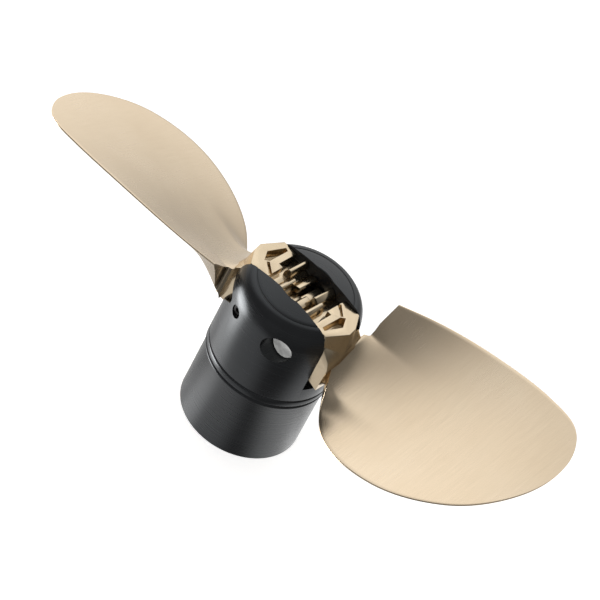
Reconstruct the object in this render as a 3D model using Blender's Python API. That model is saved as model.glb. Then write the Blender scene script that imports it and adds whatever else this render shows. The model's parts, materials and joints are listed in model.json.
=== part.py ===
"""Two-blade folding boat propeller: black forked hub, bronze blades geared to each other.

The hub stands on its forward face. Z is the shaft line and points aft, X runs along the
open blades and Y along the pivot pins. The left blade is the right blade turned half a
turn about Z. Sizes are in millimetres and become metres where a mesh is made.
"""
import math

import bmesh
import bpy
from mathutils import Matrix, Vector

MM = 0.001
GAP = 0.3            # space left between neighbours that rest on or sit in each other
RUNNING = 0.08       # radial clearance of the pivot pins in their bushes

# hub
HUB_R = 40.0
SKIRT_R = 39.0       # the forward skirt is turned slightly smaller
SKIRT_TOP = 49.3
GROOVE_Z = (51.4, 56.6)
GROOVE_DEPTH = 0.9
SIDE_TOP = 100.5     # where the straight side runs into the shoulder
DOME_TOP = 119.5
DOME_RIM_R = 30.5    # edge of the slightly domed end
DOME_DROP = 4.0
SLOT_HALF = 16.5     # half the space between the two cheeks
SLOT_FLOOR = 68.0
ACCESS_R = 17.5      # socket access for the shaft nut
ACCESS_FLOOR = 50.0
WEB_BOTTOM = 44.0
WEB_R = 15.5
CAVITY_R = 25.0      # holds the rubber drive damper
MOUTH_R = 33.0       # counterbore for the anode
MOUTH_DEPTH = 8.3

# pivots and gear
PIN_X = 16.8         # also the pitch radius of the gear sectors
PIN_Z = 96.0
PIN_R = 8.6
PIN_HALF = 28.0
BUSH_R = 10.6
BUSH_INNER = 4.5
DRIFT_R = 4.0
SCREW_SEAT = 30.2
TOOTH_PITCH = math.radians(36.0)
PRESSURE = math.radians(25.0)
TIP_R = 20.0
ROOT_R = 13.1
BACKLASH = 0.4
FRONT_TEETH = (-26, 10, 46, 82)   # tooth centres in degrees, 0 faces the other pin
REAR_TEETH = (-8, 28, 64)         # half a pitch on, so that equal blades mesh

# blade root block, measured out (u) and up (v) from the pin
BOSS_HALF = SLOT_HALF - GAP
PLATE_V = 17.8
FRONT_BLOCK_U, REAR_BLOCK_U = 5.6, 2.4
SKIN = 0.1           # joined solids end this much apart instead of flush
STOP_V = -19.3

# blade
BLADE_ROOT_R = 37.7
BLADE_TIP_R = 186.5
LEADING = (-5.5, -43.0, -50.0, -31.0, 5.0, 41.5)    # arc from the blade axis, root to tip
TRAILING = (40.0, 54.0, 61.5, 64.5, 61.0, 41.5)
ROOT_CUT_X = 40.5
PITCH = (278.6, 65.5, -20.7)             # at mid span, then its slope and its bend
RAKE = (6.9, 14.7, -6.0)
MID_R, SPAN = 110.0, 75.0
ROOT_THICK, TIP_THICK, EDGE_THICK = 9.0, 2.2, 1.2
SHANK_THICK, SHANK_REACH, SHANK_HALF = 11.0, 21.0, 20.0
SWELL_MID, SWELL_LEAN = 14.0, 0.625      # height of the swelling at the root, more in front
SWELL_FROM, SWELL_REACH, SWELL_FADE = 24.2, 9.5, 7.0

# shaft fittings and anode
SLEEVE_R, SLEEVE_NECK_R = 17.0, 15.2
SPLINES, SPLINE_ROOT_R, SPLINE_TIP_R = 15, 13.4, 12.2
NUT_FLATS = 24.0
SHAFT_THREAD_R = 8.3
ANODE_INNER_R = 19.0
ANODE_SCREW_R = 28.8

COLOURS = {
    "hub_black": ((0.012, 0.013, 0.015), 0.32, 0.6),
    "bronze": ((0.62, 0.47, 0.29), 0.30, 1.0),
    "steel": ((0.52, 0.52, 0.52), 0.30, 1.0),
    "bush_bronze": ((0.42, 0.26, 0.12), 0.45, 1.0),
    "rubber": ((0.015, 0.015, 0.015), 0.80, 0.0),
    "zinc": ((0.45, 0.46, 0.47), 0.60, 1.0),
}


def material(slot):
    mat = bpy.data.materials.get(slot)
    if mat is None:
        colour, rough, metal = COLOURS[slot]
        mat = bpy.data.materials.new(slot)
        mat.use_nodes = True
        bsdf = mat.node_tree.nodes["Principled BSDF"]
        bsdf.inputs["Base Color"].default_value = (*colour, 1.0)
        bsdf.inputs["Roughness"].default_value = rough
        bsdf.inputs["Metallic"].default_value = metal
    return mat


def make(name, verts, faces, slot=None, parent=None, spot=(0, 0, 0), turn=0.0):
    """Mesh object from points in millimetres; without a slot it is a hidden cutter."""
    mesh = bpy.data.meshes.new(name)
    mesh.from_pydata([Vector(v) * MM for v in verts], [], faces)
    bm = bmesh.new()
    bm.from_mesh(mesh)
    bmesh.ops.recalc_face_normals(bm, faces=bm.faces)
    bm.to_mesh(mesh)
    bm.free()
    obj = bpy.data.objects.new(name, mesh)
    bpy.context.collection.objects.link(obj)
    obj.location = Vector(spot) * MM
    obj.rotation_euler.z = turn
    obj.parent = parent
    if slot:
        mesh.materials.append(material(slot))
        mesh.shade_smooth()
        mesh.set_sharp_from_angle(angle=math.radians(28))
    else:
        obj.hide_render = True
        obj.display_type = "WIRE"
    return obj


def turned(profile, segments=32):
    """Closed (r, z) profile turned about Z; points with r = 0 become poles."""
    verts, rings = [], []
    for r, z in profile:
        if r == 0:
            rings.append([len(verts)] * segments)
            verts.append((0, 0, z))
        else:
            start = len(verts)
            for k in range(segments):
                a = math.tau * k / segments
                verts.append((r * math.cos(a), r * math.sin(a), z))
            rings.append(list(range(start, start + segments)))
    faces = []
    for ring, following in zip(rings, rings[1:] + rings[:1]):
        for k in range(segments):
            n = (k + 1) % segments
            face = list(dict.fromkeys((ring[k], ring[n], following[n], following[k])))
            if len(face) > 2:
                faces.append(face)
    return verts, faces


def extruded(outline, low, high):
    """Prism over an (x, y) outline."""
    n = len(outline)
    verts = [(x, y, low) for x, y in outline] + [(x, y, high) for x, y in outline]
    faces = [list(range(n))[::-1], list(range(n, 2 * n))]
    faces += [[k, (k + 1) % n, n + (k + 1) % n, n + k] for k in range(n)]
    return verts, faces


def frustum(low_outline, high_outline, low, high):
    """Prism whose two ends differ but have the same number of corners."""
    verts, faces = extruded(low_outline, low, high)
    n = len(low_outline)
    return verts[:n] + [(x, y, high) for x, y in high_outline], faces


def along_y(solid):
    """Turn a solid built along Z to run along Y, with its old Y pointing up."""
    verts, faces = solid
    return [(x, -z, y) for x, y, z in verts], faces


def placed(solid, x=0.0, y=0.0, z=0.0):
    verts, faces = solid
    return [(vx + x, vy + y, vz + z) for vx, vy, vz in verts], faces


def half_turned(solid):
    verts, faces = solid
    return [(-x, -y, z) for x, y, z in verts], faces


def box(low, high):
    (x0, y0, z0), (x1, y1, z1) = low, high
    return extruded([(x0, y0), (x1, y0), (x1, y1), (x0, y1)], z0, z1)


def disc(radius, low, high, segments=32):
    return turned([(0, low), (radius, low), (radius, high), (0, high)], segments)


def ring(inner, outer, low, high, chamfer=0.4, segments=32):
    return turned([(inner, low), (outer - chamfer, low), (outer, low + chamfer),
                   (outer, high - chamfer), (outer - chamfer, high), (inner, high)], segments)


def arc(cx, cy, radius, start, end, steps):
    """Points on an arc, angles in degrees."""
    angles = (math.radians(start + (end - start) * k / steps) for k in range(steps + 1))
    return [(cx + radius * math.cos(a), cy + radius * math.sin(a)) for a in angles]


def boolean(target, solid, operation="DIFFERENCE"):
    cutter = make(f"{target.name}_tool_{len(target.modifiers)}", *solid)
    cutter.parent = target.parent
    cutter.location = target.location
    cutter.rotation_euler = target.rotation_euler
    mod = target.modifiers.new("Boolean", "BOOLEAN")
    mod.operation = operation
    mod.solver = "EXACT"
    mod.object = cutter


# ---------------------------------------------------------------- hub

def hub_profile():
    mouth = [(MOUTH_R, 0), (SKIRT_R - 0.8, 0), (SKIRT_R, 0.8), (SKIRT_R, SKIRT_TOP - 0.6),
             (SKIRT_R + 0.3, SKIRT_TOP), (HUB_R - 0.3, SKIRT_TOP), (HUB_R, SKIRT_TOP + 0.3)]
    grooves = [(HUB_R - depth, z + shift) for z in GROOVE_Z
               for shift, depth in ((-GROOVE_DEPTH, 0), (0, GROOVE_DEPTH), (GROOVE_DEPTH, 0))]
    rim_z = DOME_TOP - DOME_DROP
    shoulder = [(DOME_RIM_R + (HUB_R - DOME_RIM_R) * math.cos(a),
                 SIDE_TOP + (rim_z - SIDE_TOP) * math.sin(a))
                for a in (math.radians(90 * k / 8) for k in range(9))]
    dome = [(r, DOME_TOP - DOME_DROP * (r / DOME_RIM_R) ** 2) for r in (24.0, ACCESS_R)]
    inside = [(ACCESS_R, ACCESS_FLOOR), (WEB_R, ACCESS_FLOOR), (WEB_R, WEB_BOTTOM),
              (CAVITY_R, WEB_BOTTOM), (CAVITY_R, MOUTH_DEPTH), (MOUTH_R, MOUTH_DEPTH)]
    return mouth + grooves + shoulder + dome + inside


def relief():
    """Tapered pocket in the cheek's edge that clears the root of the blade."""
    face = Matrix.Rotation(math.radians(38.3), 3, "Z")
    outline = [(-16.2, 8.1), (-16.2, -24.3), (-7.1, -17.2)] + arc(3.63, -6.47, 3.41, -70, 75, 5)
    verts, faces = extruded([(y, z) for y, z in outline], 29.5, 50)
    return [tuple(face @ Vector((depth, along, PIN_Z + up))) for along, up, depth in verts], faces


def build_hub(root):
    hub = make("hub_body", *turned(hub_profile(), 64), "hub_black", root)
    boolean(hub, box((-60, -SLOT_HALF, SLOT_FLOOR), (60, SLOT_HALF, 130)))
    bore = along_y(turned([(0, -PIN_HALF - GAP), (PIN_R + GAP, -PIN_HALF - GAP),
                           (PIN_R + GAP, 45), (0, 45)], 38))
    drift = along_y(turned([(0, -45), (DRIFT_R, -45), (DRIFT_R, -SCREW_SEAT), (2.6, -SCREW_SEAT),
                            (2.6, -PIN_HALF + 1), (0, -PIN_HALF + 1)], 26))
    for side in (bore, drift):
        whole = placed(side, PIN_X, 0, PIN_Z)
        boolean(hub, whole)
        boolean(hub, half_turned(whole))
    boolean(hub, relief())
    boolean(hub, half_turned(relief()))
    pad = box((22, -8, 65), (33, 8, 70))
    boolean(hub, pad)
    boolean(hub, half_turned(pad))
    for k in range(3):
        boolean(hub, placed(disc(2.5, 6, 19, 20), *screw_spot(k), 0))
    return hub


def screw_spot(k):
    a = math.radians(30 + 120 * k)
    return ANODE_SCREW_R * math.cos(a), ANODE_SCREW_R * math.sin(a)


# ---------------------------------------------------------------- blade

def gear_points(centres):
    """Involute teeth at the given centres, from the lowest tooth to the highest."""
    base = PIN_X * math.cos(PRESSURE)
    half_at_pitch = (TOOTH_PITCH * PIN_X - BACKLASH) / (4 * PIN_X)
    involute = math.tan(PRESSURE) - PRESSURE

    def half_angle(r):
        a = math.acos(min(1.0, base / r))
        return half_at_pitch + involute - (math.tan(a) - a)

    radii = [base, 16.2, 17.6, 18.9, TIP_R]
    points = []
    for centre in centres:
        c = math.radians(centre)
        rising = [(ROOT_R, c - half_angle(base))] + [(r, c - half_angle(r)) for r in radii]
        points += rising + [(r, 2 * c - a) for r, a in reversed(rising)]
    return [(-r * math.cos(a), r * math.sin(a)) for r, a in points]


def tooth_sector(centres):
    """Teeth of one half on a strip of rim, (u, v) about the pin."""
    inner = ROOT_R - 2.0
    low, high = math.radians(centres[0] - 12), math.radians(centres[-1] + 12)
    rim = [(-r * math.cos(a), r * math.sin(a))
           for r, a in ((ROOT_R - 0.2, high), (inner, high), (inner, (low + high) / 2 + 0.5),
                        (inner, (low + high) / 2 - 0.5), (inner, low), (ROOT_R - 0.2, low))]
    return gear_points(centres) + rim


def core_outline():
    """Side view of the root block without its teeth and plate, (u, v) about the pin."""
    rim = [(-ROOT_R * math.cos(math.radians(a)), ROOT_R * math.sin(math.radians(a)))
           for a in range(-98, 95, 8)]
    return rim + [(9.0, 12.0), (19.0, 9.0), (25.6, 3.0), (27.4, -2.0), (26.8, -20.8),
                  (20.5, -18.9), (16.8, STOP_V), (5.0, STOP_V)]


def blend(values, s):
    """Smooth curve through evenly spaced values, s from 0 to 1."""
    n = len(values) - 1
    k = min(int(s * n), n - 1)
    t = s * n - k
    a, b = values[k], values[k + 1]
    before = values[k - 1] if k else 2 * a - b
    after = values[k + 2] if k + 2 <= n else 2 * b - a
    m0, m1 = (b - before) / 2, (after - a) / 2
    return ((2 * t ** 3 - 3 * t * t + 1) * a + (t ** 3 - 2 * t * t + t) * m0
            + (3 * t * t - 2 * t ** 3) * b + (t ** 3 - t * t) * m1)


def blade_point(r, along, depth):
    """Point on the blade, depth millimetres in from its aft face, about the pin."""
    s = (r - MID_R) / SPAN
    lead = (PITCH[0] + PITCH[1] * s + PITCH[2] * s * s) / math.tau
    slope = math.atan(lead / r)
    angle = (along + depth * math.sin(slope)) / r
    rise = lead * along / r + RAKE[0] + RAKE[1] * s + RAKE[2] * s * s
    return (r * math.cos(angle) - PIN_X, r * math.sin(angle), rise - depth * math.cos(slope))


def swell(r, along):
    """Rise of the aft face where the blade runs up onto its root block."""
    u, y = r * math.cos(along / r) - PIN_X, r * math.sin(along / r)
    high = max(SWELL_MID - SWELL_LEAN * max(y, -BOSS_HALF), 0.0)
    if y < -BOSS_HALF:
        high *= math.exp(-((y + BOSS_HALF) / SWELL_FADE) ** 2)
    return high * math.exp(-max(u - SWELL_FROM, 0.0) / SWELL_REACH)


def foil(root_steps=5, span_steps=18, chord_steps=16):
    fine = 0.11
    stations = [fine * i / root_steps for i in range(root_steps)]
    stations += [fine + (1 - fine) * i / span_steps for i in range(span_steps + 1)]
    verts, rows = [], []
    for s in stations:
        r = BLADE_ROOT_R + (BLADE_TIP_R - BLADE_ROOT_R) * math.sin(math.pi * s / 2)
        lead_arc, trail_arc = blend(LEADING, s), blend(TRAILING, s)
        out = (r - BLADE_ROOT_R) / (BLADE_TIP_R - BLADE_ROOT_R)
        thick = ROOT_THICK + (TIP_THICK - ROOT_THICK) * out ** 0.7
        shank = SHANK_THICK * math.exp(-((r - BLADE_ROOT_R) / SHANK_REACH) ** 1.5)
        row = []
        for face in (0, 1):
            for j in range(chord_steps + 1):
                t = j / chord_steps
                along = lead_arc + (trail_arc - lead_arc) * t
                crown = 1 - abs(2 * t - 1) ** 2.2
                depth = face * (EDGE_THICK + (thick - EDGE_THICK) * crown
                                + shank * math.exp(-((along - 13) / SHANK_HALF) ** 2))
                x, y, z = blade_point(r, along, depth)
                row.append((x, y, z if face else z + swell(r, along)))
        if s == stations[-1]:
            row = [row[0]] * (chord_steps + 1) + [row[-1]] * (chord_steps + 1)
        index = []
        for point in row:
            if not index or point != verts[-1]:
                verts.append(point)
            index.append(len(verts) - 1)
        rows.append(index[:chord_steps + 1] + index[chord_steps + 1:][::-1])
    first = rows[0]
    faces = [[first[j], first[j + 1], first[-j - 2], first[-j - 1]] for j in range(chord_steps)]
    for row, following in zip(rows, rows[1:]):
        n = len(row)
        for j in range(n):
            k = (j + 1) % n
            face = list(dict.fromkeys((row[j], row[k], following[k], following[j])))
            if len(face) > 2:
                faces.append(face)
    # the twisted quads are split, so that every face is flat where the root is joined on
    return verts, [[f[0], f[k], f[k + 1]] for f in faces for k in range(1, len(f) - 1)]


def root_gap():
    """Plan of the gap between the cheek and the trailing corner of the blade."""
    outline = [(5, BOSS_HALF - SKIN), (39.4, BOSS_HALF - SKIN), (39.4, 20.0), (40.6, 20.4),
               (41.5, 21.5), (41.7, 23.2), (ROOT_CUT_X + 0.4, 28), (ROOT_CUT_X, 44), (5, 60)]
    return placed(extruded(outline, -60, 60), -PIN_X)


def build_blade(name, root, side):
    place = (side * PIN_X, 0, PIN_Z)
    turn = 0.0 if side > 0 else math.pi
    half = BOSS_HALF - SKIN
    blade = make(name, *foil(), "bronze", root, place, turn)
    boolean(blade, root_gap())
    boolean(blade, box((0, -60, -60), (ROOT_CUT_X - PIN_X, -half, 60)))
    boolean(blade, box((10, -30, -60), (34, 30, -21.5)))
    boolean(blade, along_y(extruded(core_outline(), -BOSS_HALF, BOSS_HALF)), "UNION")
    boolean(blade, along_y(extruded(tooth_sector(FRONT_TEETH), GAP / 2, half)), "UNION")
    boolean(blade, along_y(extruded(tooth_sector(REAR_TEETH), -half, -GAP / 2)), "UNION")
    # the upper end narrows to a many-sided plate that carries on over the last teeth
    plate = [(FRONT_BLOCK_U, -half), (16.2, -half), (22.7, -1), (21.4, 6), (15, half),
             (REAR_BLOCK_U, half), (REAR_BLOCK_U, SKIN), (FRONT_BLOCK_U, SKIN)]
    base = [(FRONT_BLOCK_U, -half), (20.5, -half), (27, -1), (26, 6), (20.5, half),
            (REAR_BLOCK_U, half), (REAR_BLOCK_U, SKIN), (FRONT_BLOCK_U, SKIN)]
    boolean(blade, frustum(base, plate, -4, PLATE_V), "UNION")
    # pocket behind the plate, and the oil groove beside it
    boolean(blade, extruded([(10.0, -12.4), (12.2, -13.2), (16.4, -0.6), (12.4, 6.4),
                             (10.2, 3.8)], 11.0, 30))
    boolean(blade, extruded([(2.0, 10.4), (9.6, 4.6), (10.6, 6.0), (3.4, 12.0)], 14.5, 30))
    boolean(blade, along_y(disc(BUSH_R + GAP, -30, 30, 40)))
    return blade


# ---------------------------------------------------------------- pins and bearings

def build_pivot(word, root, side):
    """Pin, its locking screw, two bushes and the stop pad of one blade."""
    place = (side * PIN_X, 0, PIN_Z)
    turn = 0.0 if side > 0 else math.pi
    pin = [(0, -PIN_HALF), (2.5, -PIN_HALF), (2.5, -PIN_HALF + 10), (0, -PIN_HALF + 10)]
    body = [(0, -PIN_HALF), (PIN_R - 0.8, -PIN_HALF), (PIN_R, -PIN_HALF + 0.8),
            (PIN_R, PIN_HALF - 0.8), (PIN_R - 0.8, PIN_HALF), (0, PIN_HALF)]
    made = make(f"pivot_pin_{word}", *along_y(turned(body, 40)), "steel", root, place, turn)
    boolean(made, along_y(turned(pin, 24)))
    lock = [(0, -PIN_HALF + 9), (2.2, -PIN_HALF + 9), (2.2, -SCREW_SEAT - GAP),
            (DRIFT_R - GAP, -SCREW_SEAT - GAP), (DRIFT_R - GAP, -33.6), (DRIFT_R - 0.8, -34.0),
            (2.0, -34.0), (2.0, -32.0), (0, -32.0)]
    make(f"pin_lock_screw_{word}", *along_y(turned(lock, 18)), "steel", root, place, turn)
    for where, low, high in (("front", BUSH_INNER, BOSS_HALF), ("rear", -BOSS_HALF, -BUSH_INNER)):
        bush = along_y(ring(PIN_R + RUNNING, BUSH_R, low, high, segments=40))
        make(f"blade_bush_{word}_{where}", *bush, "bush_bronze", root, place, turn)
    top = PIN_Z + STOP_V - GAP
    pad = [(22 + GAP, 65 + GAP), (33 - GAP, 65 + GAP), (33 - GAP, top - 1), (32 - GAP, top),
           (23 + GAP, top), (22 + GAP, top - 1)]
    make(f"stop_pad_{word}", *along_y(extruded(pad, -8 + GAP, 8 - GAP)), "rubber", root,
         (0, 0, 0), turn)


# ---------------------------------------------------------------- shaft fittings

def build_sleeve(root):
    profile = [(8, 0.6), (SLEEVE_R - 1, 0.6), (SLEEVE_R, 1.6), (SLEEVE_R, WEB_BOTTOM - 1),
               (SLEEVE_R - 1, WEB_BOTTOM - GAP), (SLEEVE_NECK_R, WEB_BOTTOM - GAP),
               (SLEEVE_NECK_R, 51.3), (8, 51.3)]
    sleeve = make("spline_sleeve", *turned(profile, 36), "bush_bronze", root)
    outline = []
    for k in range(SPLINES):
        for step, r in ((0.02, SPLINE_ROOT_R), (0.42, SPLINE_ROOT_R), (0.55, SPLINE_TIP_R),
                        (0.89, SPLINE_TIP_R)):
            a = math.tau * (k + step) / SPLINES
            outline.append((r * math.cos(a), r * math.sin(a)))
    boolean(sleeve, extruded(outline, -5, 60))


def build_damper(root):
    """Rubber cush ring, fluted outside so that it can squeeze."""
    flutes, steps = 10, 6
    outer, inner = [], []
    for k in range(flutes * steps):
        a = math.tau * k / (flutes * steps)
        r = CAVITY_R - GAP - 0.7 * (1 - math.cos(flutes * a))
        outer.append((r * math.cos(a), r * math.sin(a)))
        inner.append(((SLEEVE_R + GAP) * math.cos(a), (SLEEVE_R + GAP) * math.sin(a)))
    n = len(outer)
    low, high = 9.0, WEB_BOTTOM - 1.0
    verts = [(x, y, z) for z in (low, high) for loop in (outer, inner) for x, y in loop]
    faces = []
    for k in range(n):
        m = (k + 1) % n
        faces += [[k, m, 2 * n + m, 2 * n + k], [n + m, n + k, 3 * n + k, 3 * n + m],
                  [m, k, n + k, n + m], [2 * n + k, 2 * n + m, 3 * n + m, 3 * n + k]]
    make("drive_damper", verts, faces, "rubber", root)


def build_nut(root):
    make("thrust_washer", *ring(10.8, ACCESS_R - 0.5, 51.6, 54.6), "steel", root)
    tab = make("tab_washer", *ring(SHAFT_THREAD_R + GAP, 15.6, 54.9, 55.9, 0.2), "steel", root)
    boolean(tab, box((NUT_FLATS / 2 + GAP, -3, 55.3), (NUT_FLATS / 2 + 1.5, 3, 61)), "UNION")
    corner = NUT_FLATS / 2 / math.cos(math.pi / 6)
    hexagon = [(corner * math.cos(a), corner * math.sin(a))
               for a in (math.radians(30 + 60 * k) for k in range(6))]
    nut = make("shaft_nut", *extruded(hexagon, 56.2, 67.5), "steel", root)
    nut_bevel = nut.modifiers.new("Bevel", "BEVEL")
    nut_bevel.width = 0.6 * MM
    nut_bevel.limit_method = "ANGLE"
    nut_bevel.angle_limit = math.radians(50)
    boolean(nut, disc(SHAFT_THREAD_R, 50, 75, 36))


def build_anode(root):
    anode = make("anode_ring", *ring(ANODE_INNER_R, MOUTH_R - GAP, GAP, MOUTH_DEPTH - GAP, 0.6,
                                     40), "zinc", root)
    for k in range(3):
        spot = screw_spot(k)
        head = turned([(0, -2), (4.0, -2), (4.0, 4.2), (2.5, 4.2), (2.5, 20), (0, 20)], 20)
        boolean(anode, placed(head, *spot, 0))
        screw = [(0, 3.2), (1.6, 3.2), (1.6, 0.7), (3.3, 0.7), (3.7, 1.1), (3.7, 3.9),
                 (2.2, 3.9), (2.2, 17.6), (1.6, 18.4), (0, 18.4)]
        make(f"anode_screw_{k + 1}", *turned(screw, 16), "steel", root, (*spot, 0))


def clear_scene():
    for obj in list(bpy.data.objects):
        bpy.data.objects.remove(obj, do_unlink=True)


def main():
    clear_scene()
    root = bpy.data.objects.new("propeller", None)
    bpy.context.collection.objects.link(root)
    build_hub(root)
    for word, side in (("right", 1), ("left", -1)):
        build_blade(f"blade_{word}", root, side)
        build_pivot(word, root, side)
    build_sleeve(root)
    build_damper(root)
    build_nut(root)
    build_anode(root)


main()
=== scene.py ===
"""Looks for the folding boat propeller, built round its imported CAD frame.

The hub shell and the two blades are rebuilt here with finer meshes than the CAD carries; every
other part keeps its CAD shape and gets a material. Lengths are in millimetres, and MM turns
them into metres where a mesh is made.
"""
import json
import math

import bmesh
import bpy
from mathutils import Matrix, Vector


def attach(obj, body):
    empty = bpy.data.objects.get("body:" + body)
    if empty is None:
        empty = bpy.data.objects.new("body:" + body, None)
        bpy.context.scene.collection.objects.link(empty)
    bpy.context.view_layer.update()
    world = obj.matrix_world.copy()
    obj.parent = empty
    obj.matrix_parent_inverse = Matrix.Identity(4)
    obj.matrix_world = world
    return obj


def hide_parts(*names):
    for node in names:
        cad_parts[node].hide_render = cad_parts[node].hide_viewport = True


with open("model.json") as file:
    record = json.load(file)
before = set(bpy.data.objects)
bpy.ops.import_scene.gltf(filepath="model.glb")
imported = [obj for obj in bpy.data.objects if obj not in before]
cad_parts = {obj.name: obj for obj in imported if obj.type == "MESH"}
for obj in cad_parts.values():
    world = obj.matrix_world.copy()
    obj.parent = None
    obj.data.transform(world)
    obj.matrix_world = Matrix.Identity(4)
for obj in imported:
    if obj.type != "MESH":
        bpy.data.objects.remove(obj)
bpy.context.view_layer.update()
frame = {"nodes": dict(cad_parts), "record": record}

MM = 0.001
GAP = 0.3                                  # running clearance
BEYOND, ABOVE = 60.0, 130.0                # cutters that pass right through end here

# hub
HUB_R, SKIRT_R, SKIRT_TOP, LIP_R = 40.0, 39.0, 49.3, 0.8
GROOVE_Z, GROOVE_DEPTH = (51.4, 56.6), 0.9
SIDE_TOP, DOME_TOP, DOME_RIM_R, DOME_DROP = 100.5, 119.5, 30.5, 4.0
SLOT_HALF, SLOT_FLOOR = 16.5, 68.0
ACCESS_R, ACCESS_FLOOR = 17.5, 50.0
WEB_BOTTOM, WEB_R, CAVITY_R = 44.0, 15.5, 25.0
MOUTH_R, MOUTH_DEPTH = 33.0, 8.3
ANODE_SCREW_R, ANODE_HOLE_R, ANODE_HOLE_Z = 28.8, 2.5, (6, 19)
RELIEF_TURN, RELIEF_FLOOR, RELIEF_OUT = math.radians(38.3), 29.5, 50
PAD_POCKET = ((22, -8, 65), (33, 8, 70))

# pivots and gear
PIN_X, PIN_Z, PIN_R, PIN_HALF = 16.8, 96.0, 8.6, 28.0
DRIFT_R, SCREW_SEAT, THREAD_R, BUSH_R = 4.0, 30.2, 2.6, 10.6
BORE_OUT = 45                              # where the pin and drift bores leave the hub
TOOTH_PITCH, PRESSURE = math.radians(36.0), math.radians(25.0)
TIP_R, ROOT_R, BACKLASH = 20.0, 13.1, 0.4
FRONT_TEETH, REAR_TEETH = (-26, 10, 46, 82), (-8, 28, 64)

# blade root block; u runs out from the pin and v up along the shaft
BOSS_HALF = SLOT_HALF - GAP
PLATE_V, STOP_V, UNDER_V, SKIN = 17.8, -19.3, -21.5, 0.1
FRONT_BLOCK_U, REAR_BLOCK_U = 5.6, 2.4
BLOCK_TOP, POCKET_V, NOTCH_V = 30, 11.0, 14.5   # above it all, and the floors of two cuts
SECTOR_EDGE = 12                           # degrees of rim past the outer teeth

# blade; its edges are arc lengths from the middle line, evenly spaced from root to tip
BLADE_ROOT_R, BLADE_TIP_R, ROOT_CUT_X = 37.7, 186.5, 40.5
LEADING = (-5.5, -43.0, -50.0, -31.0, 5.0, 41.5)
TRAILING = (40.0, 54.0, 61.5, 64.5, 61.0, 41.5)
# pitch and rake are quadratics in (r - MID_R) / SPAN
PITCH, RAKE = (278.6, 65.5, -20.7), (6.9, 14.7, -6.0)
MID_R, SPAN = 110.0, 75.0
ROOT_THICK, TIP_THICK, EDGE_THICK = 9.0, 2.2, 1.2
TAPER, CROWN = 0.7, 2.2                    # powers of the thickness along and across
SHANK_THICK, SHANK_REACH, SHANK_FADE = 11.0, 21.0, 1.5
SHANK_MID, SHANK_HALF = 13, 20.0
# height of the swelling at the root and its slope across; where and how fast it dies away
SWELL_MID, SWELL_LEAN = 14.0, 0.625
SWELL_FROM, SWELL_REACH, SWELL_FADE = 24.2, 9.5, 7.0
# fillet under the blade against the outer wall of the root block, which curves back
FILLET = 4.0
WALL_U, WALL_FALL, WALL_POWER = 27.2, 6.5, 1.6
GAP_END_X, GAP_END_Y, GAP_END_R = 40.1, 22.0, 1.9


# ---------------------------------------------------------------- mesh helpers

def make(name, verts, faces):
    mesh = bpy.data.meshes.new(name)
    mesh.from_pydata([Vector(v) * MM for v in verts], [], faces)
    bm = bmesh.new()
    bm.from_mesh(mesh)
    bmesh.ops.recalc_face_normals(bm, faces=bm.faces)
    bm.to_mesh(mesh)
    bm.free()
    obj = bpy.data.objects.new(name, mesh)
    bpy.context.collection.objects.link(obj)
    return obj


def turned(profile, segments):
    """Closed (r, z) profile turned about Z; points with r = 0 become poles."""
    verts, rings = [], []
    for r, z in profile:
        if r == 0:
            rings.append([len(verts)] * segments)
            verts.append((0, 0, z))
        else:
            rings.append(list(range(len(verts), len(verts) + segments)))
            for k in range(segments):
                a = math.tau * k / segments
                verts.append((r * math.cos(a), r * math.sin(a), z))
    faces = []
    for ring, following in zip(rings, rings[1:] + rings[:1]):
        for k in range(segments):
            n = (k + 1) % segments
            face = list(dict.fromkeys((ring[k], ring[n], following[n], following[k])))
            if len(face) > 2:
                faces.append(face)
    return verts, faces


def frustum(low_outline, high_outline, low, high):
    """Prism whose ends may differ but have the same number of corners."""
    n = len(low_outline)
    verts = [(x, y, low) for x, y in low_outline] + [(x, y, high) for x, y in high_outline]
    faces = [list(range(n))[::-1], list(range(n, 2 * n))]
    faces += [[k, (k + 1) % n, n + (k + 1) % n, n + k] for k in range(n)]
    return verts, faces


def extruded(outline, low, high):
    return frustum(outline, outline, low, high)


def along_y(solid):
    verts, faces = solid
    return [(x, -z, y) for x, y, z in verts], faces


def placed(solid, x=0.0, y=0.0, z=0.0):
    verts, faces = solid
    return [(vx + x, vy + y, vz + z) for vx, vy, vz in verts], faces


def half_turned(solid):
    verts, faces = solid
    return [(-x, -y, z) for x, y, z in verts], faces


def box(low, high):
    (x0, y0, z0), (x1, y1, z1) = low, high
    return extruded([(x0, y0), (x1, y0), (x1, y1), (x0, y1)], z0, z1)


def disc(radius, low, high, segments=96):
    return turned([(0, low), (radius, low), (radius, high), (0, high)], segments)


def arc(cx, cy, radius, start, end, steps):
    angles = (math.radians(start + (end - start) * k / steps) for k in range(steps + 1))
    return [(cx + radius * math.cos(a), cy + radius * math.sin(a)) for a in angles]


def boolean(target, solid, operation="DIFFERENCE"):
    cutter = make(f"{target.name}_tool_{len(target.modifiers)}", *solid)
    mod = target.modifiers.new("Boolean", "BOOLEAN")
    mod.operation, mod.solver, mod.object = operation, "EXACT", cutter


def bevel(obj, width, angle=35, segments=2):
    mod = obj.modifiers.new("Bevel", "BEVEL")
    mod.width = width * MM
    mod.segments = segments
    mod.limit_method = "ANGLE"
    mod.angle_limit = math.radians(angle)
    mod.use_clamp_overlap = False


def finished(obj, sharp=38):
    """Bakes the modifiers into the mesh, drops the cutters and shades by angle."""
    tools = [m.object for m in obj.modifiers if m.type == "BOOLEAN"]
    evaluated = obj.evaluated_get(bpy.context.evaluated_depsgraph_get())
    mesh = bpy.data.meshes.new_from_object(evaluated)
    obj.modifiers.clear()
    obj.data = mesh
    for tool in tools:
        bpy.data.objects.remove(tool)
    mesh.shade_smooth()
    mesh.set_sharp_from_angle(angle=math.radians(sharp))
    return obj


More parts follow.
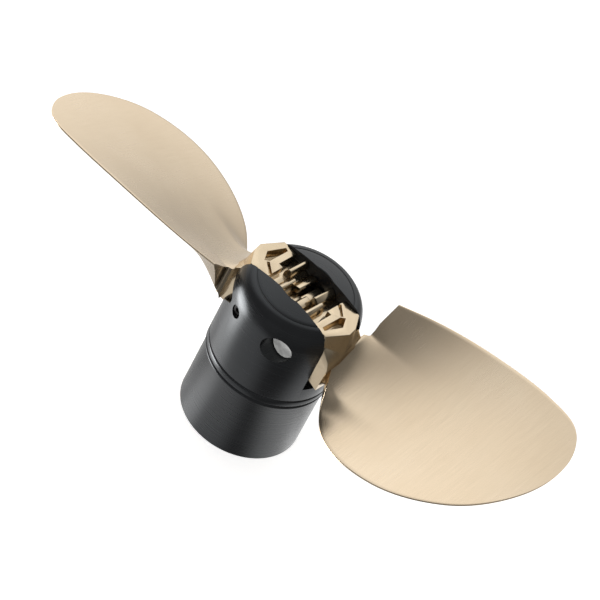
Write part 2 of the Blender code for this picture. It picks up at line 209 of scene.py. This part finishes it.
# ---------------------------------------------------------------- hub shell

def hub_profile():
    """Half section of the hub, up the outside from the mouth and back down the inside."""
    mouth = [(MOUTH_R, 0), (SKIRT_R - LIP_R, 0)]
    mouth += [(SKIRT_R - LIP_R + LIP_R * math.sin(a), LIP_R - LIP_R * math.cos(a))
              for a in (math.radians(22.5 * k) for k in (1, 2, 3, 4))]
    step = [(SKIRT_R, SKIRT_TOP - 0.5), (SKIRT_R + 0.25, SKIRT_TOP - 0.05),
            (HUB_R - 0.35, SKIRT_TOP), (HUB_R - 0.08, SKIRT_TOP + 0.1),
            (HUB_R, SKIRT_TOP + 0.4)]
    cut = ((-1.15, 0), (-0.8, 0.07), (0, GROOVE_DEPTH), (0.8, 0.07), (1.15, 0))
    grooves = [(HUB_R - depth, z + shift) for z in GROOVE_Z for shift, depth in cut]
    rim_z = DOME_TOP - DOME_DROP
    steps = 18
    shoulder = [(DOME_RIM_R + (HUB_R - DOME_RIM_R) * math.cos(a),
                 SIDE_TOP + (rim_z - SIDE_TOP) * math.sin(a))
                for a in (math.radians(90 * k / steps) for k in range(steps))]
    crease = [(DOME_RIM_R + 0.5, rim_z + 0.02), (DOME_RIM_R + 0.15, rim_z - 0.22),
              (DOME_RIM_R - 0.25, rim_z + 0.1)]
    dome = [(r, DOME_TOP - DOME_DROP * (r / DOME_RIM_R) ** 2)
            for r in (28.0, 25.0, 22.0, ACCESS_R + 0.4)]
    inside = [(ACCESS_R, dome[-1][1] - 0.3), (ACCESS_R, ACCESS_FLOOR), (WEB_R, ACCESS_FLOOR),
              (WEB_R, WEB_BOTTOM), (CAVITY_R, WEB_BOTTOM), (CAVITY_R, MOUTH_DEPTH),
              (MOUTH_R, MOUTH_DEPTH)]
    return mouth + step + grooves + shoulder + crease + dome + inside


def relief():
    """Tapered pocket in the cheek's edge that clears the root of the blade."""
    face = Matrix.Rotation(RELIEF_TURN, 3, "Z")
    outline = [(-16.2, 8.1), (-16.2, -24.3), (-7.1, -17.2)] + arc(6.0, -1.6, 3.41, -70, 75, 16)
    verts, faces = extruded(outline, RELIEF_FLOOR, RELIEF_OUT)
    return [tuple(face @ Vector((depth, along, PIN_Z + up))) for along, up, depth in verts], faces


def build_hub():
    """The forked hub: one turned body with the slot, bores, reliefs and pockets cut in it."""
    hub = make("hub_shell", *turned(hub_profile(), 192))
    boolean(hub, box((-BEYOND, -SLOT_HALF, SLOT_FLOOR), (BEYOND, SLOT_HALF, ABOVE)))
    pin_bore = turned([(0, -PIN_HALF - GAP), (PIN_R + GAP, -PIN_HALF - GAP),
                       (PIN_R + GAP, BORE_OUT), (0, BORE_OUT)], 96)
    drift_bore = turned([(0, -BORE_OUT), (DRIFT_R, -BORE_OUT), (DRIFT_R, -SCREW_SEAT),
                         (THREAD_R, -SCREW_SEAT), (THREAD_R, -PIN_HALF + 1),
                         (0, -PIN_HALF + 1)], 64)
    across = [placed(along_y(bore), PIN_X, 0, PIN_Z) for bore in (pin_bore, drift_bore)]
    for cutter in (*across, relief(), box(*PAD_POCKET)):
        boolean(hub, cutter)
        boolean(hub, half_turned(cutter))
    for k in range(3):
        a = math.radians(30 + 120 * k)
        boolean(hub, placed(disc(ANODE_HOLE_R, *ANODE_HOLE_Z, 32),
                            ANODE_SCREW_R * math.cos(a), ANODE_SCREW_R * math.sin(a)))
    return finished(hub)


# ---------------------------------------------------------------- blades

def blend(values, s):
    """Smooth curve through evenly spaced values, s from 0 to 1."""
    n = len(values) - 1
    k = min(int(s * n), n - 1)
    t = s * n - k
    a, b = values[k], values[k + 1]
    before = values[k - 1] if k else 2 * a - b
    after = values[k + 2] if k + 2 <= n else 2 * b - a
    m0, m1 = (b - before) / 2, (after - a) / 2
    return ((2 * t ** 3 - 3 * t * t + 1) * a + (t ** 3 - 2 * t * t + t) * m0
            + (3 * t * t - 2 * t ** 3) * b + (t ** 3 - t * t) * m1)


def blade_point(r, along, depth):
    """Point on the blade, depth in from its aft face, about the pin."""
    s = (r - MID_R) / SPAN
    lead = (PITCH[0] + PITCH[1] * s + PITCH[2] * s * s) / math.tau
    slope = math.atan(lead / r)
    angle = (along + depth * math.sin(slope)) / r
    rise = lead * along / r + RAKE[0] + RAKE[1] * s + RAKE[2] * s * s
    return (r * math.cos(angle) - PIN_X, r * math.sin(angle), rise - depth * math.cos(slope))


def swell(r, along):
    """Rise of the aft face where the blade runs up onto its root block."""
    u, y = r * math.cos(along / r) - PIN_X, r * math.sin(along / r)
    high = max(SWELL_MID - SWELL_LEAN * max(y, -BOSS_HALF), 0.0)
    if y < -BOSS_HALF:
        high *= math.exp(-((y + BOSS_HALF) / SWELL_FADE) ** 2)
    return high * math.exp(-max(u - SWELL_FROM, 0.0) / SWELL_REACH)


def raised(point, rise):
    return point[0], point[1], point[2] + rise


def fillet_rise(r, along):
    """How far the fore face swells out where it meets the outer faces of the root block."""
    u, y = r * math.cos(along / r) - PIN_X, r * math.sin(along / r)
    wall = WALL_U if y < 0 else WALL_U - WALL_FALL * (y / BOSS_HALF) ** WALL_POWER
    off = min(max(u - wall, 0.0), FILLET)
    return FILLET - math.sqrt(FILLET ** 2 - (FILLET - off) ** 2)


def foil(root_rows=34, rows=64, chord_steps=52, nose_steps=5):
    """The blade from root to tip; each row of points runs round one section of it."""
    near_root, last = 0.11, 0.9995
    stations = [near_root * i / root_rows for i in range(root_rows)]
    stations += [near_root + (last - near_root) * i / rows for i in range(rows + 1)]
    verts, loops = [], []
    for s in stations:
        r = BLADE_ROOT_R + (BLADE_TIP_R - BLADE_ROOT_R) * math.sin(math.pi * s / 2)
        lead_arc, trail_arc = blend(LEADING, s), blend(TRAILING, s)
        chord = trail_arc - lead_arc
        out = (r - BLADE_ROOT_R) / (BLADE_TIP_R - BLADE_ROOT_R)
        thick = ROOT_THICK + (TIP_THICK - ROOT_THICK) * out ** TAPER
        shank = SHANK_THICK * math.exp(-((r - BLADE_ROOT_R) / SHANK_REACH) ** SHANK_FADE)
        nose = min(EDGE_THICK / 2, chord / 4)
        inner = chord - 2 * nose
        aft, fore = [], []
        for j in range(chord_steps + 1):
            t = j / chord_steps
            along = lead_arc + nose + inner * t
            crown = 1 - abs(2 * t - 1) ** CROWN
            full = 2 * nose + (thick - EDGE_THICK) * crown * min(1.0, chord / 20)
            full += shank * math.exp(-((along - SHANK_MID) / SHANK_HALF) ** 2)
            aft.append(raised(blade_point(r, along, 0), swell(r, along)))
            fore.append(blade_point(r, along, full + fillet_rise(r, along)))
        row = list(aft)
        for edge, sign in ((trail_arc - nose, 1), (lead_arc + nose, -1)):
            for k in range(1, nose_steps + 1):
                a = math.pi * k / (nose_steps + 1)
                turn = a if sign > 0 else math.pi - a
                full = 2 * nose + shank * math.exp(-((edge - SHANK_MID) / SHANK_HALF) ** 2)
                down = (1 - math.cos(turn)) / 2
                point = blade_point(r, edge + sign * nose * math.sin(a),
                                    down * (full + fillet_rise(r, edge)))
                row.append(raised(point, (1 - down) * swell(r, edge)))
            if sign > 0:
                row += fore[::-1]
        loops.append(range(len(verts), len(verts) + len(row)))
        verts += row
    n, c = len(loops[0]), chord_steps
    faces = []
    for row, following in zip(loops, loops[1:]):
        faces += [[row[j], row[(j + 1) % n], following[(j + 1) % n], following[j]]
                  for j in range(n)]
    for cap in (loops[0], loops[-1]):
        first_fore = c + 1 + nose_steps
        faces += [[cap[j], cap[j + 1], cap[first_fore + c - j - 1], cap[first_fore + c - j]]
                  for j in range(c)]
        faces.append(list(cap[c:first_fore + 1]))
        faces.append([*cap[first_fore + c:], cap[0]])
    return verts, faces


def root_gap():
    """Plan of the gap between the cheek and the trailing corner of the blade."""
    wall = [(5, BOSS_HALF - SKIN), (39.0, BOSS_HALF - SKIN), (39.2, 19.2)]
    end = arc(GAP_END_X, GAP_END_Y, GAP_END_R, -75, 10, 8)
    corner = [(ROOT_CUT_X + 1.2, 25), (ROOT_CUT_X + 0.3, 29), (ROOT_CUT_X, 44), (5, BEYOND)]
    return placed(extruded(wall + end + corner, -BEYOND, BEYOND), -PIN_X)


def gear_points(centres):
    """Involute teeth at the given centres, from the lowest tooth to the highest."""
    base = PIN_X * math.cos(PRESSURE)
    half_at_pitch = (TOOTH_PITCH * PIN_X - BACKLASH) / (4 * PIN_X)
    involute = math.tan(PRESSURE) - PRESSURE

    def half_angle(r):
        a = math.acos(min(1.0, base / r))
        return half_at_pitch + involute - (math.tan(a) - a)

    radii = [base, 15.6, 16.2, 16.9, 17.6, 18.2, 18.9, 19.5, TIP_R]
    points = []
    for centre in centres:
        c = math.radians(centre)
        rising = [(ROOT_R, c - half_angle(base))] + [(r, c - half_angle(r)) for r in radii]
        points += rising + [(r, 2 * c - a) for r, a in reversed(rising)]
    return [(-r * math.cos(a), r * math.sin(a)) for r, a in points]


def tooth_sector(centres):
    """A run of teeth closed by a strip of rim that sinks into the core."""
    inner = ROOT_R - 2.0
    low, high = (math.radians(a) for a in (centres[0] - SECTOR_EDGE, centres[-1] + SECTOR_EDGE))
    rim = [(-r * math.cos(a), r * math.sin(a))
           for r, a in ((ROOT_R - 0.2, high), (inner, high), (inner, (low + high) / 2 + 0.5),
                        (inner, (low + high) / 2 - 0.5), (inner, low), (ROOT_R - 0.2, low))]
    return gear_points(centres) + rim


def core_outline():
    """Side view of the core: round behind the teeth, flat under the stop, square outside."""
    rim = [(-ROOT_R * math.cos(math.radians(a)), ROOT_R * math.sin(math.radians(a)))
           for a in range(-98, 95, 4)]
    return rim + [(9.0, 12.0), (19.0, 9.0), (25.6, 3.0), (27.4, -2.0), (26.8, -20.8),
                  (20.5, -18.9), (16.8, STOP_V), (5.0, STOP_V)]


def build_root(name):
    """Root block: a core bored for the bushes, gear teeth, and a many-sided top plate."""
    half = BOSS_HALF - SKIN
    block = make(name, *along_y(extruded(core_outline(), -BOSS_HALF, BOSS_HALF)))
    boolean(block, along_y(extruded(tooth_sector(FRONT_TEETH), GAP / 2, half)), "UNION")
    boolean(block, along_y(extruded(tooth_sector(REAR_TEETH), -half, -GAP / 2)), "UNION")
    plate = [(FRONT_BLOCK_U, -half), (16.2, -half), (22.7, -1), (21.4, 6), (15, half),
             (REAR_BLOCK_U, half), (REAR_BLOCK_U, SKIN), (FRONT_BLOCK_U, SKIN)]
    base = [(FRONT_BLOCK_U, -half), (20.5, -half), (27, -1), (26, 6), (20.5, half),
            (REAR_BLOCK_U, half), (REAR_BLOCK_U, SKIN), (FRONT_BLOCK_U, SKIN)]
    boolean(block, frustum(base, plate, -4, PLATE_V), "UNION")
    pocket = [(10.0, -12.4), (12.2, -13.2), (16.4, -0.6), (12.4, 6.4), (10.2, 3.8)]
    boolean(block, extruded(pocket, POCKET_V, BLOCK_TOP))
    notch = [(2.0, 10.4), (9.6, 4.6), (10.6, 6.0), (3.4, 12.0)]
    boolean(block, extruded(notch, NOTCH_V, BLOCK_TOP))
    boolean(block, along_y(disc(BUSH_R + GAP, -BLOCK_TOP, BLOCK_TOP)))
    bevel(block, 0.3)
    return finished(block)


def build_blade(word, side, foil_finish, root_finish):
    """One blade: the foil, trimmed to clear the hub, and its root block."""
    spot = Matrix.Translation(Vector((side * PIN_X, 0, PIN_Z)) * MM)
    turn = Matrix.Rotation(0.0 if side > 0 else math.pi, 4, "Z")
    wing = make(f"blade_{word}_foil", *foil())
    half = BOSS_HALF - SKIN
    boolean(wing, root_gap())
    boolean(wing, box((0, -BEYOND, -BEYOND), (ROOT_CUT_X - PIN_X, -half, BEYOND)))
    boolean(wing, box((10, -30, -BEYOND), (34, 30, UNDER_V)))
    finished(wing, 50)
    block = build_root(f"blade_{word}_root")
    for piece, finish in ((wing, foil_finish), (block, root_finish)):
        piece.data.transform(spot @ turn)
        piece.data.materials.clear()
        piece.data.materials.append(finish)
        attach(piece, f"{word}_blade")
    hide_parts(f"blade_{word}")


# ---------------------------------------------------------------- materials

class Nodes:
    """Small helper for wiring one material."""

    def __init__(self, name):
        self.mat = bpy.data.materials.new(name)
        self.mat.use_nodes = True
        self.tree = self.mat.node_tree
        self.bsdf = self.tree.nodes["Principled BSDF"]
        self.where = self.tree.nodes.new("ShaderNodeTexCoord").outputs["Object"]

    def noise(self, scale, stretch=(1, 1, 1), detail=4.0, rough=0.55):
        mapping = self.tree.nodes.new("ShaderNodeMapping")
        mapping.inputs["Scale"].default_value = stretch
        self.tree.links.new(self.where, mapping.inputs["Vector"])
        node = self.tree.nodes.new("ShaderNodeTexNoise")
        node.inputs["Scale"].default_value = scale
        node.inputs["Detail"].default_value = detail
        node.inputs["Roughness"].default_value = rough
        self.tree.links.new(mapping.outputs["Vector"], node.inputs["Vector"])
        return node.outputs["Fac"]

    def span(self, value, low, high, start=0.3, end=0.7):
        node = self.tree.nodes.new("ShaderNodeMapRange")
        for key, number in (("From Min", start), ("From Max", end), ("To Min", low),
                            ("To Max", high)):
            node.inputs[key].default_value = number
        self.tree.links.new(value, node.inputs["Value"])
        return node.outputs["Result"]

    def mix(self, factor, one, two):
        node = self.tree.nodes.new("ShaderNodeMix")
        node.data_type = "RGBA"
        self.tree.links.new(factor, node.inputs["Factor"])
        for key, value in (("A", one), ("B", two)):
            socket = next(i for i in node.inputs if i.name == key and i.type == "RGBA")
            if isinstance(value, tuple):
                socket.default_value = (*value, 1.0)
            else:
                self.tree.links.new(value, socket)
        return next(o for o in node.outputs if o.type == "RGBA")

    def off_axis(self):
        """Distance from the shaft line, in metres."""
        flat = self.tree.nodes.new("ShaderNodeVectorMath")
        flat.operation = "MULTIPLY"
        flat.inputs[1].default_value = (1, 1, 0)
        self.tree.links.new(self.where, flat.inputs[0])
        length = self.tree.nodes.new("ShaderNodeVectorMath")
        length.operation = "LENGTH"
        self.tree.links.new(flat.outputs["Vector"], length.inputs[0])
        return length.outputs["Value"]

    def add(self, one, two):
        node = self.tree.nodes.new("ShaderNodeMath")
        node.operation = "ADD"
        self.tree.links.new(one, node.inputs[0])
        self.tree.links.new(two, node.inputs[1])
        return node.outputs[0]

    def bump(self, value, strength, distance_mm, base=None):
        node = self.tree.nodes.new("ShaderNodeBump")
        node.inputs["Strength"].default_value = strength
        node.inputs["Distance"].default_value = distance_mm * MM
        self.tree.links.new(value, node.inputs["Height"])
        if base is not None:
            self.tree.links.new(base, node.inputs["Normal"])
        return node.outputs["Normal"]

    def put(self, colour=None, roughness=None, normal=None):
        for key, value in (("Base Color", colour), ("Roughness", roughness), ("Normal", normal)):
            if value is not None:
                self.tree.links.new(value, self.bsdf.inputs[key])
        return self.mat


def bronze():
    """Pale bronze with the fine cross grain a belt leaves, and painted shade darkening it towards
    the root beside the hub.
    """
    n = Nodes("brushed_bronze")
    n.bsdf.inputs["Metallic"].default_value = 1.0
    clouds = n.noise(16, detail=3)
    grain = n.noise(60, stretch=(20, 1.0, 0.6), detail=5)
    tone = n.mix(n.span(clouds, 0, 1), (0.79, 0.640, 0.460), (0.86, 0.715, 0.53))
    tone = n.mix(n.span(grain, 0, 0.08), tone, (0.62, 0.48, 0.31))
    # painted shade: within about 40 to 56 mm of the shaft line the bronze is mixed towards dull
    # brown, where the hub shades the blade roots
    root_shade_reach = n.add(n.off_axis(), n.span(clouds, -0.006, 0.006))
    tone = n.mix(n.span(root_shade_reach, 0.45, 0, 0.040, 0.056), tone, (0.40, 0.325, 0.225))
    rough = n.add(n.span(clouds, 0.21, 0.28), n.span(grain, -0.02, 0.03))
    return n.put(tone, rough, n.bump(grain, 0.014, 0.03))


def machined_bronze():
    """The same metal left bright by a cutter: smoother, yellower, with fine tool lines."""
    n = Nodes("machined_bronze")
    n.bsdf.inputs["Metallic"].default_value = 1.0
    clouds = n.noise(45, detail=4)
    lines = n.noise(90, stretch=(1.0, 12, 1.0), detail=3)
    tone = n.mix(n.span(clouds, 0, 1), (0.64, 0.520, 0.360), (0.74, 0.615, 0.44))
    rough = n.add(n.span(clouds, 0.16, 0.24), n.span(lines, -0.02, 0.03))
    return n.put(tone, rough, n.bump(lines, 0.04, 0.03))


def hub_black():
    """Black coating over turned metal: fine rings round the shaft line under a satin skin."""
    n = Nodes("satin_black")
    n.bsdf.inputs["Specular Tint"].default_value = (0.90, 0.96, 1.0, 1.0)
    clouds = n.noise(18, detail=3)
    rings = n.noise(40, stretch=(0.5, 0.5, 26), detail=4)
    skin = n.noise(900, detail=2)
    tone = n.mix(n.span(clouds, 0, 1), (0.0080, 0.0080, 0.0085), (0.013, 0.0135, 0.0145))
    tone = n.mix(n.span(rings, 0, 0.25, 0.5, 0.72), tone, (0.022, 0.023, 0.025))
    rough = n.add(n.span(clouds, 0.22, 0.28), n.span(rings, -0.02, 0.04))
    normal = n.bump(skin, 0.06, 0.02, n.bump(rings, 0.06, 0.03))
    return n.put(tone, rough, normal)


def steel(name="turned_steel", dark=(0.50, 0.50, 0.49), pale=(0.78, 0.78, 0.76), metallic=0.35):
    n = Nodes(name)
    n.bsdf.inputs["Metallic"].default_value = metallic
    clouds = n.noise(170, detail=4)
    fine = n.noise(500, stretch=(1, 0.2, 1), detail=3)
    tone = n.mix(n.span(clouds, 0, 1, 0.4, 0.6), dark, pale)
    return n.put(tone, n.span(clouds, 0.38, 0.55), n.bump(fine, 0.15, 0.05))


def bush_bronze():
    n = Nodes("bearing_bronze")
    n.bsdf.inputs["Metallic"].default_value = 1.0
    clouds = n.noise(70, detail=4)
    tone = n.mix(n.span(clouds, 0, 1), (0.40, 0.25, 0.12), (0.55, 0.37, 0.20))
    return n.put(tone, n.span(clouds, 0.38, 0.55), n.bump(n.noise(420), 0.2, 0.05))


def rubber():
    n = Nodes("moulded_rubber")
    clouds = n.noise(50, detail=4)
    tone = n.mix(n.span(clouds, 0, 1), (0.010, 0.010, 0.010), (0.024, 0.023, 0.022))
    return n.put(tone, n.span(clouds, 0.65, 0.85), n.bump(n.noise(700), 0.35, 0.08))


def anode_metal():
    n = Nodes("cast_anode")
    n.bsdf.inputs["Metallic"].default_value = 1.0
    clouds = n.noise(60, detail=6)
    tone = n.mix(n.span(clouds, 0, 1), (0.34, 0.35, 0.36), (0.56, 0.57, 0.58))
    return n.put(tone, n.span(clouds, 0.45, 0.7), n.bump(n.noise(240, detail=6), 0.35, 0.15))


# ---------------------------------------------------------------- studio

# azimuth, elevation, half-width of the even middle and of the whole glow, brightness
LIGHTS = (
    (-140, 45, 24, 58, 0.78),     # large box behind and to the left
    (-112, 52, 5, 30, 0.35),      # its brighter middle
    (-45, 58, 10, 40, 0.10),      # spill from it in front
    (-166, 10, 25, 80, 0.52),     # pale wall behind
    (140, -48, 15, 45, 1.10),     # low fill on the right
    (-20, -50, 10, 38, 0.75),     # weak low fill in front
    (-62, -26, 5, 22, 15.0),      # narrow box low at the front left
    (-75, -48, 5, 22, 1.30),      # its foot
    (-125, -47, 22, 52, 0.50),    # low fill on the left
    (-98, -15, 12, 38, 0.95),     # pale card at the left
    (50, 35, 20, 70, 0.14),       # pale wall behind the camera
)
AMBIENT = 0.10


def direction(azimuth, elevation):
    """Unit vector; azimuth 0 points along -Y and 90 along +X."""
    a, e = math.radians(azimuth), math.radians(elevation)
    return Vector((math.sin(a) * math.cos(e), -math.cos(a) * math.cos(e), math.sin(e)))


def build_light():
    """Soft boxes drawn on the sky: each is a round glow with a soft edge."""
    world = bpy.data.worlds.new("studio")
    world.use_nodes = True
    bpy.context.scene.world = world
    tree = world.node_tree
    tree.nodes.clear()
    ray = tree.nodes.new("ShaderNodeNewGeometry").outputs["Incoming"]

    def math_node(operation, one, two):
        node = tree.nodes.new("ShaderNodeMath")
        node.operation = operation
        for socket, value in zip(node.inputs, (one, two)):
            if isinstance(value, (int, float)):
                socket.default_value = value
            else:
                tree.links.new(value, socket)
        return node.outputs[0]

    total = None
    for azimuth, elevation, inner, outer, strength in LIGHTS:
        dot = tree.nodes.new("ShaderNodeVectorMath")
        dot.operation = "DOT_PRODUCT"
        tree.links.new(ray, dot.inputs[0])
        dot.inputs[1].default_value = -direction(azimuth, elevation)
        glow = tree.nodes.new("ShaderNodeMapRange")
        glow.interpolation_type = "SMOOTHSTEP"
        glow.inputs["From Min"].default_value = math.cos(math.radians(outer))
        glow.inputs["From Max"].default_value = math.cos(math.radians(inner))
        glow.inputs["To Max"].default_value = strength
        tree.links.new(dot.outputs["Value"], glow.inputs["Value"])
        total = glow.outputs[0] if total is None else math_node("ADD", total, glow.outputs[0])
    lit = tree.nodes.new("ShaderNodeBackground")
    tree.links.new(math_node("ADD", total, AMBIENT), lit.inputs["Strength"])
    seen = tree.nodes.new("ShaderNodeBackground")
    seen.inputs["Strength"].default_value = 1.0
    path = tree.nodes.new("ShaderNodeLightPath")
    choose = tree.nodes.new("ShaderNodeMixShader")
    tree.links.new(path.outputs["Is Camera Ray"], choose.inputs["Fac"])
    tree.links.new(lit.outputs[0], choose.inputs[1])
    tree.links.new(seen.outputs[0], choose.inputs[2])
    out = tree.nodes.new("ShaderNodeOutputWorld")
    tree.links.new(choose.outputs[0], out.inputs["Surface"])


def build_fill():
    """Broad card beside the camera; it lifts the dull surfaces and leaves the mirrors alone."""
    lamp = bpy.data.lights.new("front_card", "AREA")
    lamp.size, lamp.energy = 0.8, 14.0
    card = bpy.data.objects.new("front_card", lamp)
    bpy.context.collection.objects.link(card)
    towards, distance, middle = direction(2, 8), 1.5, Vector((0, 0, 0.08))
    card.location = distance * towards + middle
    card.rotation_euler = towards.to_track_quat("Z", "Y").to_euler()
    card.visible_glossy = False


def build_floor():
    """Pale floor seen only by the camera, so that the metal mirrors the sky all round."""
    half = 8.0
    mesh = bpy.data.meshes.new("floor")
    mesh.from_pydata([(-half, -half, 0), (half, -half, 0), (half, half, 0), (-half, half, 0)],
                     [], [(0, 1, 2, 3)])
    floor = bpy.data.objects.new("floor", mesh)
    bpy.context.collection.objects.link(floor)
    n = Nodes("pale_floor")
    tone = n.mix(n.span(n.noise(3), 0, 1), (0.86, 0.86, 0.86), (0.90, 0.90, 0.90))
    n.bsdf.inputs["Emission Color"].default_value = (1, 1, 1, 1)
    n.bsdf.inputs["Emission Strength"].default_value = 0.72
    mesh.materials.append(n.put(tone, n.span(n.noise(5), 0.7, 0.8)))
    floor.visible_glossy = False
    floor.visible_diffuse = False
    floor.visible_shadow = False


def build_camera():
    """A long lens, tipped over to the right, with the hub a little left of and below centre."""
    azimuth, elevation, roll = 22.84, 43.33, math.radians(28.59)
    distance, lens, sensor = 2.4459, 244.5, 36.0
    target, offset = Vector((0, 0, 0.060)), Vector((-0.01567, -0.0279))
    back = direction(azimuth, elevation)
    flat = Vector((math.cos(math.radians(azimuth)), math.sin(math.radians(azimuth)), 0))
    rise = back.cross(flat)                # flat and rise: the level camera's right and up
    right = math.cos(roll) * flat + math.sin(roll) * rise
    up = back.cross(right)
    camera = bpy.data.objects.new("camera", bpy.data.cameras.new("camera"))
    bpy.context.collection.objects.link(camera)
    camera.data.sensor_width, camera.data.lens = sensor, lens
    spot = target - offset.x * right - offset.y * up + distance * back
    turn = Matrix((right, up, back)).transposed().to_4x4()
    camera.matrix_world = Matrix.Translation(spot) @ turn
    bpy.context.scene.camera = camera


# ---------------------------------------------------------------- the propeller

finishes = {"hub_black": hub_black(), "bronze": bronze(), "steel": steel(),
            "bush_bronze": bush_bronze(), "rubber": rubber(), "zinc": anode_metal()}
blackened = steel("blackened_steel", (0.012, 0.012, 0.012), (0.02, 0.02, 0.02), 0.0)
for part in frame["record"]["subparts"]:
    obj = frame["nodes"][part["node"]]
    obj.data.materials.clear()
    locking = part["node"].startswith("pin_lock_screw")
    obj.data.materials.append(blackened if locking else finishes[part["material_slot"]])
    obj.data.shade_smooth()
    obj.data.set_sharp_from_angle(angle=math.radians(30))

shell = build_hub()
shell.data.materials.clear()
shell.data.materials.append(finishes["hub_black"])
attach(shell, "hub")
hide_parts("hub_body")
machined = machined_bronze()
build_blade("right", 1, finishes["bronze"], machined)
build_blade("left", -1, finishes["bronze"], machined)

build_light()
build_fill()
build_floor()
build_camera()
bpy.context.scene.view_settings.view_transform = "Standard"
